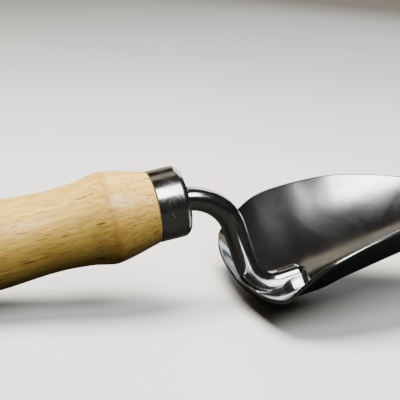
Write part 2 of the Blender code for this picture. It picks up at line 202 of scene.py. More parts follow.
def cut_away(piece: bpy.types.Object, cutter: bpy.types.Object) -> None:
    """Cut one object out of another for good, and remove the cutter.

    Args:
        piece: the object that is cut.
        cutter: what is cut out of it.
    """
    boolean = piece.modifiers.new("Cut", "BOOLEAN")
    boolean.operation = "DIFFERENCE"
    boolean.solver = "EXACT"
    boolean.object = cutter
    bpy.context.view_layer.update()
    graph = bpy.context.evaluated_depsgraph_get()
    cut_mesh = bpy.data.meshes.new_from_object(piece.evaluated_get(graph))
    piece.modifiers.clear()
    piece.data = cut_mesh
    bpy.data.objects.remove(cutter)


@dataclass(frozen=True)
class ToolFrame:
    """Where the tool's own frame lies on the bench."""

    matrix: Matrix

    @classmethod
    def from_record(cls, record: dict, ferrule_length: float, face_height: float) -> "ToolFrame":
        """Work the frame out from the mount on the ferrule's front face.

        Args:
            record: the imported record.
            ferrule_length: distance from the frame's origin to that face.
            face_height: how far the mount is above the handle's axis.

        Returns:
            The tool's frame.
        """
        front = next(mount for mount in record["mounts"] if mount["name"] == "ferrule_front")
        forward = Vector(front["axis"]).normalized()
        sideways = Vector((0.0, 1.0, 0.0))
        upward = forward.cross(sideways).normalized()
        origin = Vector(front["pos_m"]) - forward * ferrule_length - upward * face_height
        turn = Matrix((forward, sideways, upward)).transposed().to_4x4()
        return cls(Matrix.Translation(origin) @ turn)

    def place(self, piece: bpy.types.Object, sharp_angle: float = 40.0) -> None:
        """Put a mesh that was made in the tool's frame on the bench, and shade it smooth.

        Args:
            piece: the object, whose place goes into its mesh.
            sharp_angle: edges that turn more than this, in degrees, stay crisp.
        """
        piece.data.transform(self.matrix)
        piece.data.shade_smooth()
        piece.data.set_sharp_from_angle(angle=math.radians(sharp_angle))

    def coordinates(self, graph: "NodeGraph") -> Socket:
        """Add nodes that read a point's place in the tool's frame.

        Args:
            graph: the material's graph.

        Returns:
            The socket with the place, in metres.
        """
        inverse = self.matrix.inverted()
        source = graph.add("ShaderNodeTexCoord")
        turn = graph.add("ShaderNodeMapping")
        turn.inputs["Rotation"].default_value = inverse.to_euler()
        turn.inputs["Location"].default_value = inverse.to_translation()
        graph.link(source.outputs["Object"], turn.inputs["Vector"])
        return turn.outputs["Vector"]


# ------------------------------------------------------------ shader tools


class NodeGraph:
    """A node tree with short calls for adding and joining nodes."""

    def __init__(self, tree: bpy.types.NodeTree) -> None:
        """Take a node tree to work on."""
        self.tree = tree

    def add(self, kind: str) -> bpy.types.Node:
        """Add a node of a kind."""
        return self.tree.nodes.new(kind)

    def link(self, source: Socket, target: Socket) -> None:
        """Join two sockets."""
        self.tree.links.new(source, target)

    def feed(self, target: Socket, value: object) -> None:
        """Give a socket a value, or join it to the socket that has one.

        Args:
            target: the socket that needs a value.
            value: the value, or a socket that puts it out.
        """
        if isinstance(value, Socket):
            self.link(value, target)
        else:
            target.default_value = value

    def math(self, operation: str, *values: object) -> Socket:
        """Add a Math node and return its result.

        Args:
            operation: what it does.
            values: its inputs, as numbers or sockets.

        Returns:
            The result.
        """
        node = self.add("ShaderNodeMath")
        node.operation = operation
        for socket, value in zip(node.inputs, values):
            self.feed(socket, value)
        return node.outputs[0]

    def vary(self, value: object, low: float, high: float, out_low: float, out_high: float) -> Socket:
        """Map a value from one range to another smoothly, kept inside the second.

        Args:
            value: the value or its socket.
            low: where the first range begins.
            high: where it ends.
            out_low: where the second range begins.
            out_high: where it ends.

        Returns:
            The mapped value.
        """
        node = self.add("ShaderNodeMapRange")
        node.interpolation_type = "SMOOTHSTEP"
        for socket, number in zip(node.inputs, (value, low, high, out_low, out_high)):
            self.feed(socket, number)
        return node.outputs["Result"]

    def mix(self, share: object, first: object, second: object) -> Socket:
        """Mix two colours by a share.

        Args:
            share: how much of the second there is.
            first: the first colour.
            second: the second colour.

        Returns:
            The mixed colour.
        """
        node = self.add("ShaderNodeMix")
        node.data_type = "RGBA"
        self.feed(node.inputs["Factor"], share)
        self.feed(node.inputs["A"], first)
        self.feed(node.inputs["B"], second)
        return node.outputs["Result"]

    def noise(self, place: Socket, scale: float, detail: float = 3.0, rough: float = 0.5) -> Socket:
        """Add a noise texture and return its value.

        Args:
            place: where it is read.
            scale: how many features there are in a metre.
            detail: how many finer layers it has.
            rough: how strong each finer layer is.

        Returns:
            Its value.
        """
        node = self.add("ShaderNodeTexNoise")
        node.inputs["Scale"].default_value = scale
        node.inputs["Detail"].default_value = detail
        node.inputs["Roughness"].default_value = rough
        self.link(place, node.inputs["Vector"])
        return node.outputs["Fac"]

    def stretch(self, place: Socket, scale: Sequence[float], turn: Sequence[float] = (0, 0, 0)) -> Socket:
        """Turn a place and then scale each of its directions.

        Args:
            place: the place.
            scale: the factor for each direction.
            turn: the turn about each axis, in radians.

        Returns:
            The new place.
        """
        turned = self.add("ShaderNodeMapping")
        turned.inputs["Rotation"].default_value = turn
        self.link(place, turned.inputs["Vector"])
        scaled = self.add("ShaderNodeMapping")
        scaled.inputs["Scale"].default_value = scale
        self.link(turned.outputs["Vector"], scaled.inputs["Vector"])
        return scaled.outputs["Vector"]

    def bump(self, height: Socket, strength: float, distance: float, under: object = None) -> Socket:
        """Add a Bump node on a height, over another normal if one is given.

        Args:
            height: the height.
            strength: how much of the bump is used.
            distance: how high a height of 1 is.
            under: a normal that the bump is added to.

        Returns:
            The new normal.
        """
        node = self.add("ShaderNodeBump")
        node.inputs["Strength"].default_value = strength
        node.inputs["Distance"].default_value = distance
        self.link(height, node.inputs["Height"])
        if under is not None:
            self.link(under, node.inputs["Normal"])
        return node.outputs["Normal"]

    def group(self, tree: bpy.types.NodeTree, **values: object) -> bpy.types.Node:
        """Place a node group with its own values; an underscore in a name stands for a space.

        Args:
            tree: the group.
            values: a number or socket for each input.

        Returns:
            The group's node.
        """
        node = self.add("ShaderNodeGroup")
        node.node_tree = tree
        for name, value in values.items():
            self.feed(node.inputs[name.replace("_", " ")], value)
        return node


def new_group(
    name: str, inputs: dict[str, object], output: str
) -> tuple[NodeGraph, bpy.types.Node, bpy.types.Node]:
    """Start a shader node group.

    Args:
        name: the group's name.
        inputs: each input's name and default; the default None makes a vector input.
        output: the name of its value output.

    Returns:
        Its graph, its input node and its output node.
    """
    tree = bpy.data.node_groups.new(name, "ShaderNodeTree")
    for label, default in inputs.items():
        kind = "NodeSocketVector" if default is None else "NodeSocketFloat"
        socket = tree.interface.new_socket(name=label, in_out="INPUT", socket_type=kind)
        if default is not None:
            socket.default_value = default
    tree.interface.new_socket(name=output, in_out="OUTPUT", socket_type="NodeSocketFloat")
    graph = NodeGraph(tree)
    return graph, graph.add("NodeGroupInput"), graph.add("NodeGroupOutput")


def scratch_group() -> bpy.types.NodeTree:
    """Make the group of fine hairline scratches, which run in three crossing directions.

    Returns:
        A group that reads Place, Fineness and Amount, and puts out Lines, from 0 to 1.
    """
    inputs = {"Place": None, "Fineness": 260.0, "Amount": 0.5}
    graph, given, out = new_group("hairline_scratches", inputs, "Lines")
    lines = None
    for turn, seed in ((0.35, 0.0), (-0.6, 0.31), (1.25, 0.77)):
        place = graph.stretch(given.outputs["Place"], (0.05, 2.2, 2.2), (turn * 0.4, turn, turn + seed))
        node = graph.add("ShaderNodeTexNoise")
        node.inputs["Detail"].default_value = 2.0
        node.inputs["Roughness"].default_value = 0.6
        graph.link(place, node.inputs["Vector"])
        graph.link(given.outputs["Fineness"], node.inputs["Scale"])
        level = graph.math("ABSOLUTE", graph.math("SUBTRACT", node.outputs["Fac"], 0.5))
        thin = graph.vary(level, 0.0, 0.022, 1.0, 0.0)
        lines = thin if lines is None else graph.math("MAXIMUM", lines, thin)
    patches = graph.vary(graph.noise(given.outputs["Place"], 55.0), 0.35, 0.65, 0.15, 1.0)
    shown = graph.math("MULTIPLY", graph.math("MULTIPLY", lines, patches), given.outputs["Amount"])
    graph.link(shown, out.inputs["Lines"])
    return graph.tree


def smudge_group() -> bpy.types.NodeTree:
    """Make the group of handling smudges: broad soft patches with finer mottling.

    Returns:
        A group that reads Place, Size and Amount, and puts out Film, from 0 to 1.
    """
    graph, given, out = new_group("handling_smudges", {"Place": None, "Size": 40.0, "Amount": 0.5}, "Film")
    node = graph.add("ShaderNodeTexNoise")
    node.inputs["Detail"].default_value = 5.0
    node.inputs["Roughness"].default_value = 0.62
    node.inputs["Distortion"].default_value = 0.8
    graph.link(given.outputs["Place"], node.inputs["Vector"])
    graph.link(given.outputs["Size"], node.inputs["Scale"])
    film = graph.vary(node.outputs["Fac"], 0.40, 0.68, 0.0, 1.0)
    graph.link(graph.math("MULTIPLY", film, given.outputs["Amount"]), out.inputs["Film"])
    return graph.tree


def wear_and_highlight_group() -> bpy.types.NodeTree:
    """Make the group that finds convex edges from how convex the surface is, for edge wear and a painted
    highlight along them.

    Returns:
        A group that reads Place, Start and Amount, and puts out Worn, from 0 to 1.
    """
    graph, given, out = new_group("edge_wear_and_highlight", {"Place": None, "Start": 0.54, "Amount": 0.5}, "Worn_and_highlit")
    geometry = graph.add("ShaderNodeNewGeometry")
    speckle = graph.noise(given.outputs["Place"], 420.0)
    ragged = graph.math("MULTIPLY", graph.math("SUBTRACT", speckle, 0.5), 0.06)
    shape = graph.math("ADD", geometry.outputs["Pointiness"], ragged)
    convex = graph.math("SUBTRACT", shape, given.outputs["Start"])
    worn_and_highlit = graph.vary(convex, 0.0, 0.05, 0.0, 1.0)
    graph.link(graph.math("MULTIPLY", worn_and_highlit, given.outputs["Amount"]), out.inputs["Worn_and_highlit"])
    return graph.tree


@dataclass(frozen=True)
class EffectGroups:
    """The node groups that the finishes share."""

    scratches: bpy.types.NodeTree
    smudges: bpy.types.NodeTree
    wear_and_highlight: bpy.types.NodeTree

    @classmethod
    def build(cls) -> "EffectGroups":
        """Make each group once."""
        return cls(scratch_group(), smudge_group(), wear_and_highlight_group())


def start_material(name: str) -> tuple[bpy.types.Material, NodeGraph, bpy.types.Node]:
    """Start a node material and return it with its graph and its shader.

    Args:
        name: the material's name.

    Returns:
        The material, its graph and its shader.
    """
    material = bpy.data.materials.new(name)
    material.use_nodes = True
    return material, NodeGraph(material.node_tree), material.node_tree.nodes["Principled BSDF"]


@dataclass(frozen=True)
class SteelFinish:
    """Polished steel with hairlines, smudges, a slight polishing waviness, and convex edges made brighter:
    partly edge wear, partly a painted highlight.
    """

    name: str
    colour: Colour
    film_colour: Colour
    gloss: float
    film_gloss: float
    hairlines: float
    fineness: float
    wave_depth: float
    wave_size: float = 60.0

    def build(self, groups: EffectGroups, tool: ToolFrame) -> bpy.types.Material:
        """Make the material.

        Args:
            groups: the shared effects.
            tool: the tool's frame, which the patterns follow.

        Returns:
            The material.
        """
        material, graph, shader = start_material(self.name)
        place = tool.coordinates(graph)
        film = graph.group(groups.smudges, Place=place, Size=38.0, Amount=1.0).outputs["Film"]
        scratches = graph.group(groups.scratches, Place=place, Fineness=self.fineness, Amount=self.hairlines)
        lines = scratches.outputs["Lines"]
        worn_and_highlit = graph.group(groups.wear_and_highlight, Place=place, Start=0.56, Amount=0.5).outputs["Worn_and_highlit"]
        colour = graph.mix(film, (*self.colour, 1.0), (*self.film_colour, 1.0))
        # convex edges get a brighter base colour: partly edge wear, partly a painted highlight along rims
        # and edges
        worn_and_highlit_colour = tuple(min(1.0, 1.18 * part) for part in self.colour)
        graph.link(graph.mix(worn_and_highlit, colour, (*worn_and_highlit_colour, 1.0)), shader.inputs["Base Color"])
        rough = graph.vary(film, 0.0, 1.0, self.gloss, self.film_gloss)
        rough = graph.math("ADD", rough, graph.math("MULTIPLY", lines, 0.10))
        graph.link(graph.math("ADD", rough, graph.math("MULTIPLY", worn_and_highlit, 0.05)), shader.inputs["Roughness"])
        shader.inputs["Metallic"].default_value = 1.0
        waves = graph.bump(graph.noise(place, self.wave_size, 2.0), 1.0, self.wave_depth)
        graph.link(graph.bump(lines, 0.25, -0.006 * MM, waves), shader.inputs["Normal"])
        return material


@dataclass(frozen=True)
class WoodFinish:
    """Pale fine-grained hardwood under satin varnish, with short brown pores and a burnished ridge."""

    name: str = "varnished_hardwood"
    pale: Colour = (0.93, 0.65, 0.135)
    warm: Colour = (0.68, 0.38, 0.065)
    pore: Colour = (0.22, 0.085, 0.015)
    burnish: Colour = (0.50, 0.19, 0.025)

    def build(
        self, groups: EffectGroups, tool: ToolFrame, ridge_x: float, end_x: float
    ) -> bpy.types.Material:
        """Make the material.

        Args:
            groups: the shared effects.
            tool: the tool's frame, whose X is the direction of the grain.
            ridge_x: where the handle's ridge is.
            end_x: where the butt is.

        Returns:
            The material.
        """
        material, graph, shader = start_material(self.name)
        place = tool.coordinates(graph)
        split = graph.add("ShaderNodeSeparateXYZ")
        graph.link(place, split.inputs["Vector"])
        along = split.outputs["X"]

        rings = self._rings(graph, place)
        streaks = graph.noise(graph.stretch(place, (0.05, 1.0, 1.0)), 620.0, 4.0, 0.6)
        tone = graph.math("ADD", graph.math("MULTIPLY", rings, 0.10), graph.math("MULTIPLY", streaks, 0.92))
        colour = graph.mix(graph.vary(tone, 0.25, 0.85, 0.0, 1.0), (*self.pale, 1.0), (*self.warm, 1.0))
        clouds = graph.noise(graph.stretch(place, (0.4, 1.0, 1.0)), 70.0, 3.0)
        clouds = graph.vary(clouds, 0.45, 0.75, 0.0, 0.55)
        colour = graph.mix(clouds, colour, (*self.warm, 1.0))

        pores = self._pores(graph, place, (0.085, 1.0, 1.0), 1500.0, 0.33, 0.28)
        fibres = graph.noise(graph.stretch(place, (0.08, 1.0, 1.0)), 1500.0, 2.0)
        fibres = graph.vary(fibres, 0.52, 0.66, 0.0, 0.34)
        dashes = self._pores(graph, place, (0.085, 1.0, 1.0), 520.0, 0.24, 0.72)
        pores = graph.math("MULTIPLY", pores, 0.60)
        marks = graph.math("MAXIMUM", pores, graph.math("MULTIPLY", dashes, 0.85))
        marks = graph.math("MAXIMUM", marks, fibres)
        colour = graph.mix(marks, colour, (*self.pore, 1.0))

        burnt = self._ridge(graph, place, along, ridge_x)
        colour = graph.mix(burnt, colour, (*self.burnish, 1.0))
        grime = graph.group(groups.smudges, Place=place, Size=55.0, Amount=0.16).outputs["Film"]
        colour = graph.mix(grime, colour, (*self.burnish, 1.0))
        end_grain = graph.vary(along, end_x + 4.0 * MM, end_x + 1.0 * MM, 0.0, 0.45)
        graph.link(graph.mix(end_grain, colour, (*self.burnish, 1.0)), shader.inputs["Base Color"])

        hairs = graph.group(groups.scratches, Place=place, Fineness=120.0, Amount=0.5).outputs["Lines"]
        rough = graph.vary(streaks, 0.3, 0.7, 0.30, 0.40)
        rough = graph.math("ADD", rough, graph.math("MULTIPLY", marks, 0.20))
        rough = graph.math("ADD", rough, graph.math("MULTIPLY", grime, 0.3))
        graph.link(rough, shader.inputs["Roughness"])
        shader.inputs["Specular IOR Level"].default_value = 0.55
        shader.inputs["Coat Weight"].default_value = 0.35
        shader.inputs["Coat Roughness"].default_value = 0.22
        shader.inputs["Coat IOR"].default_value = 1.5
        height = graph.math("SUBTRACT", graph.math("MULTIPLY", streaks, 0.35), marks)
        fine = graph.bump(height, 0.55, 0.09 * MM)
        fine = graph.bump(hairs, 0.25, -0.03 * MM, fine)
        turned = graph.bump(graph.noise(place, 95.0, 2.0), 0.7, 0.35 * MM, fine)
        graph.link(turned, shader.inputs["Normal"])
        return material

    @staticmethod
    def _rings(graph: NodeGraph, place: Socket) -> Socket:
        """Add growth rings round a pith that lies well outside the handle, bent a little by slow noise.

        Args:
            graph: the material's graph.
            place: the place in the tool's frame.

        Returns:
            A socket that goes up and down between 0 and 1.
        """
        wander = graph.add("ShaderNodeTexNoise")
        wander.inputs["Scale"].default_value = 22.0
        graph.link(graph.stretch(place, (0.25, 1.0, 1.0)), wander.inputs["Vector"])
        shift = graph.add("ShaderNodeVectorMath")
        shift.operation = "MULTIPLY_ADD"
        graph.link(wander.outputs["Color"], shift.inputs[0])
        shift.inputs[1].default_value = (0.0, 9.0 * MM, 9.0 * MM)
        graph.link(place, shift.inputs[2])
        centred = graph.add("ShaderNodeMapping")
        centred.inputs["Location"].default_value = (0.0, 21.0 * MM, 26.0 * MM)
        centred.inputs["Rotation"].default_value = (0.0, 0.05, 0.03)
        graph.link(shift.outputs["Vector"], centred.inputs["Vector"])
        wave = graph.add("ShaderNodeTexWave")
        wave.wave_type = "RINGS"
        wave.rings_direction = "X"
        wave.wave_profile = "SIN"
        wave.inputs["Scale"].default_value = 130.0
        wave.inputs["Distortion"].default_value = 1.2
        wave.inputs["Detail"].default_value = 2.0
        graph.link(centred.outputs["Vector"], wave.inputs["Vector"])
        return wave.outputs["Fac"]

    @staticmethod
    def _pores(
        graph: NodeGraph, place: Socket, stretch: Sequence[float], scale: float, size: float, sparse: float
    ) -> Socket:
        """Add spindle-shaped pores along the grain.

        Args:
            graph: the material's graph.
            place: the place in the tool's frame.
            stretch: how much shorter each direction is drawn, which makes the pores long.
            scale: how many pores there are in a metre, before stretching.
            size: the size of a pore as a share of its cell.
            sparse: the share of cells that stay empty.

        Returns:
            A socket with 1 in the pores and 0 outside.
        """
        cells = graph.add("ShaderNodeTexVoronoi")
        cells.inputs["Scale"].default_value = scale
        bent = graph.add("ShaderNodeVectorMath")
        bent.operation = "MULTIPLY_ADD"
        wobble = graph.add("ShaderNodeTexNoise")
        wobble.inputs["Scale"].default_value = 60.0
        graph.link(place, wobble.inputs["Vector"])
        graph.link(wobble.outputs["Color"], bent.inputs[0])
        bent.inputs[1].default_value = (3.0 * MM, 0.9 * MM, 0.9 * MM)
        graph.link(place, bent.inputs[2])
        graph.link(graph.stretch(bent.outputs["Vector"], stretch), cells.inputs["Vector"])
        pick = graph.add("ShaderNodeSeparateColor")
        graph.link(cells.outputs["Color"], pick.inputs["Color"])
        present = graph.vary(pick.outputs["Red"], sparse, sparse + 0.1, 0.0, 1.0)
        spread = graph.vary(pick.outputs["Green"], 0.0, 1.0, 0.6 * size, 1.3 * size)
        body = graph.math("SUBTRACT", spread, cells.outputs["Distance"])
        dark = graph.vary(body, 0.0, 0.12, 0.0, 1.0)
        return graph.math("MULTIPLY", dark, present)

    @staticmethod
    def _ridge(graph: NodeGraph, place: Socket, along: Socket, ridge_x: float) -> Socket:
        """Add the burnished line along the ridge, darker and wider in some places.

        Args:
            graph: the material's graph.
            place: the place in the tool's frame.
            along: the place along the handle.
            ridge_x: where the ridge is.

        Returns:
            A socket with the burnish's strength.
        """
        wander = graph.noise(place, 330.0, 4.0)
        ragged = graph.math("MULTIPLY", graph.math("SUBTRACT", wander, 0.5), 2.6 * MM)
        away = graph.math("ABSOLUTE", graph.math("SUBTRACT", graph.math("ADD", along, ragged), ridge_x))
        line = graph.vary(away, 0.2 * MM, 2.4 * MM, 0.42, 0.0)
        wide = graph.vary(away, 0.8 * MM, 5.5 * MM, 1.0, 0.0)
        patch = graph.vary(graph.noise(place, 90.0, 3.0), 0.48, 0.70, 0.0, 0.7)
        return graph.math("MAXIMUM", line, graph.math("MULTIPLY", wide, patch))


@dataclass(frozen=True)
class AdhesiveFinish:
    """Set amber epoxy with fine bubbles."""

    name: str = "amber_epoxy"
    colour: Colour = (0.62, 0.47, 0.20)
    bubble_colour: Colour = (0.78, 0.66, 0.38)

    def build(self, groups: EffectGroups, tool: ToolFrame) -> bpy.types.Material:
        """Make the material.

        Args:
            groups: the shared effects.
            tool: the tool's frame.

        Returns:
            The material.
        """
        material, graph, shader = start_material(self.name)
        place = tool.coordinates(graph)
        bubbles = graph.add("ShaderNodeTexVoronoi")
        bubbles.inputs["Scale"].default_value = 900.0
        graph.link(place, bubbles.inputs["Vector"])
        inside = graph.vary(bubbles.outputs["Distance"], 0.12, 0.3, 1.0, 0.0)
        film = graph.group(groups.smudges, Place=place, Size=90.0, Amount=0.6).outputs["Film"]
        colour = graph.mix(inside, (*self.colour, 1.0), (*self.bubble_colour, 1.0))
        graph.link(colour, shader.inputs["Base Color"])
        graph.link(graph.vary(film, 0.0, 1.0, 0.25, 0.5), shader.inputs["Roughness"])
        graph.link(graph.bump(inside, 0.5, 0.05 * MM), shader.inputs["Normal"])
        return material


# ------------------------------------------------------------ the tool


def settle(piece: bpy.types.Object, material: bpy.types.Material, nodes: Sequence[str]) -> None:
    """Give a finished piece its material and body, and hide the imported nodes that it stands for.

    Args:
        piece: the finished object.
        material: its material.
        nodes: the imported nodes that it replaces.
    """
    piece.data.materials.clear()
    piece.data.materials.append(material)
    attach(piece, "root")
    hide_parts(*nodes)
    LOG.info("%s: %d faces", piece.name, len(piece.data.polygons))


@dataclass
class Ferrule:
    """The drawn steel cup on the front of the handle, staked on both sides."""

    length: float = 12.0 * MM
    radius: float = 13.41 * MM
    wall: float = 0.9 * MM
    corner: float = 3.0 * MM
    hole: float = 4.8 * MM
    mount_height: float = 7.8 * MM
    edge: float = 0.14 * MM
    lip: float = 0.35 * MM
    dimple_ahead: float = 5.0 * MM
    dimple_reach: float = 1.45 * MM
    dimple_depth: float = 0.5 * MM
    steps: int = 264

    def profile(self) -> list[Station]:
        """List the section of the cup, all the way round its wall."""
        outer, inner = self.radius, self.radius - self.wall
        front, back_face = self.length, self.length - self.wall
        points = arc_points((self.edge, outer - self.edge), self.edge, 180, 90, 4)
        points += line_points((self.edge + 0.3 * MM, outer), (self.length - self.corner, outer), 28)
        points += arc_points((self.length - self.corner, outer - self.corner), self.corner, 90, 0, 14)
        points += line_points((front, outer - self.corner - 0.5 * MM), (front, self.hole + self.lip), 8)
        points += arc_points((front - self.lip, self.hole + self.lip), self.lip, 0, -90, 4)
        points += [(back_face, self.hole)]
        inner_corner = self.corner - self.wall
        points += line_points((back_face, self.hole + 0.5 * MM), (back_face, inner - inner_corner), 6)
        points += arc_points((back_face - inner_corner, inner - inner_corner), inner_corner, 0, 90, 8)
        points += line_points((back_face - inner_corner - 0.3 * MM, inner), (0.0, inner), 22)
        points += [(0.0, inner)]
        return points

    def press_dimple(self, place: Vector) -> float:
        """Tell how far a point of the wall is pressed in: a bowl with a slightly raised border.

        Args:
            place: the point.

        Returns:
            How far it moves towards the middle.
        """
        away = math.hypot(place.x - self.dimple_ahead, place.z) / self.dimple_reach
        if away > 2.0 or abs(place.y) < 0.8 * self.radius:
            return 0.0
        bowl = max(0.0, 1.0 - away**2) ** 1.5
        border = 0.09 * math.exp(-((away - 1.12) / 0.25) ** 2)
        return self.dimple_depth * (bowl - border)

    def build(self, tool: ToolFrame, material: bpy.types.Material) -> bpy.types.Object:
        """Make the ferrule.

        Args:
            tool: the tool's frame.
            material: its steel.

        Returns:
            The piece.
        """
        shape = spun_profile(self.profile(), self.steps, closed=True)
        for vertex in shape.verts:
            vertex.co.y -= math.copysign(self.press_dimple(vertex.co), vertex.co.y)
        piece = mesh_object("drawn_ferrule", shape)
        tool.place(piece, 50.0)
        settle(piece, material, ["ferrule"])
        return piece


@dataclass
class Handle:
    """The turned grip, from its tenon in the ferrule to its butt, with the hole it hangs by."""

    ferrule: Ferrule
    length: float = 111.88 * MM
    gap: float = 0.3 * MM
    ridge_back: float = 17.4 * MM
    ridge_radius: float = 17.2 * MM
    ridge_flat: float = 1.6 * MM
    ridge_roll: float = 0.1
    ridge_foot: float = 6.0
    ridge_foot_rise: float = 0.28
    waist_back: float = 38.0 * MM
    waist_radius: float = 14.8 * MM
    swell_to_butt: float = 26.0 * MM
    swell_radius: float = 17.0 * MM
    grip_middle: float = 0.55
    grip_fullness: float = 0.58
    butt_fullness: float = 0.8
    butt_flat: float = 6.5 * MM
    bore_radius: float = 5.6 * MM
    bore_end: float = 52.0 * MM
    hang_hole: float = 4.0 * MM
    hang_hole_to_butt: float = 14.0 * MM
    hole_chamfer: float = 0.9 * MM
    edge: float = 0.15 * MM
    grip_rings: int = 150
    butt_rings: int = 30
    steps: int = 160

    def radius(self, x: float) -> float:
        """Give the radius of the grip behind the ferrule.

        Args:
            x: the place along the handle.

        Returns:
            The radius.
        """
        butt = -self.length
        grip = self.length - self.swell_to_butt - self.waist_back
        ridge = -self.ridge_back
        rolled = self.ridge_radius - self.ridge_roll * self.ridge_flat
        rise = self.ridge_radius - self.waist_radius
        full = self.waist_radius + self.grip_fullness * (self.swell_radius - self.waist_radius)
        stations = (
            (butt + self.swell_to_butt, self.swell_radius),
            (butt + self.swell_to_butt + self.grip_middle * grip, full),
            (-self.waist_back, self.waist_radius),
            (ridge - self.ridge_foot * self.ridge_flat, self.waist_radius + self.ridge_foot_rise * rise),
            (ridge - self.ridge_flat, rolled),
            (ridge, self.ridge_radius),
            (ridge + self.ridge_flat, rolled),
            (-self.gap, self.ferrule.radius),
        )
        return curve_through(stations, x)

    def butt_radius(self, x: float) -> float:
        """Give the radius of the rounded butt.

        Args:
            x: the place along the handle.

        Returns:
            The radius.
        """
        lift = math.asin(min(1.0, (self.swell_to_butt - self.length - x) / self.swell_to_butt))
        rounding = max(0.0, math.cos(lift)) ** self.butt_fullness
        return self.butt_flat + (self.swell_radius - self.butt_flat) * rounding

    def profile(self) -> list[Station]:
        """List the section from the bore's end, round the tenon and the grip, to the middle of the butt."""
        front = self.ferrule.length - self.ferrule.wall - self.gap
        tenon = self.ferrule.radius - self.ferrule.wall - self.gap
        slope = self.ferrule.corner
        points = [(-self.bore_end, 0.0), (-self.bore_end, self.bore_radius), (front, self.bore_radius)]
        points += [(front, tenon - slope), (front - slope, tenon), (-self.gap, tenon)]
        points += [(-self.gap, self.ferrule.radius - self.edge)]
        start = -self.gap - self.edge
        swell = self.swell_to_butt - self.length
        for step in range(1, self.grip_rings + 1):
            x = start + (swell - start) * step / self.grip_rings
            points.append((x, self.radius(x)))
        for step in range(1, self.butt_rings + 1):
            x = swell - self.swell_to_butt * math.sin(math.pi / 2 * step / self.butt_rings)
            points.append((x, self.butt_radius(x)))
        points += [(-self.length, 0.6 * self.butt_flat), (-self.length, 0.0)]
        return points

    def hole_cutter(self) -> bpy.types.Object:
        """Make the shape that cuts the hanging hole and chamfers its two mouths."""
        x = self.hang_hole_to_butt - self.length
        mouth = self.butt_radius(x) - self.hole_chamfer
        reach = mouth + 8.0 * MM
        section = [(-reach, 0.0), (-reach, self.hang_hole + reach - mouth), (-mouth, self.hang_hole)]
        section += [(mouth, self.hang_hole), (reach, self.hang_hole + reach - mouth), (reach, 0.0)]
        shape = spun_profile(section, 64, closed=False)
        turn = Matrix.Translation((x, 0.0, 0.0)) @ Matrix.Rotation(math.pi / 2, 4, "Z")
        bmesh.ops.transform(shape, matrix=turn, verts=shape.verts[:])
        return mesh_object("hole_cutter", shape)

    def build(self, tool: ToolFrame, material: bpy.types.Material) -> bpy.types.Object:
        """Make the handle.

        Args:
            tool: the tool's frame.
            material: its wood.

        Returns:
            The piece.
        """
        piece = mesh_object("turned_handle", spun_profile(self.profile(), self.steps, closed=False))
        cut_away(piece, self.hole_cutter())
        tool.place(piece, 38.0)
        settle(piece, material, ["handle"])
        return piece


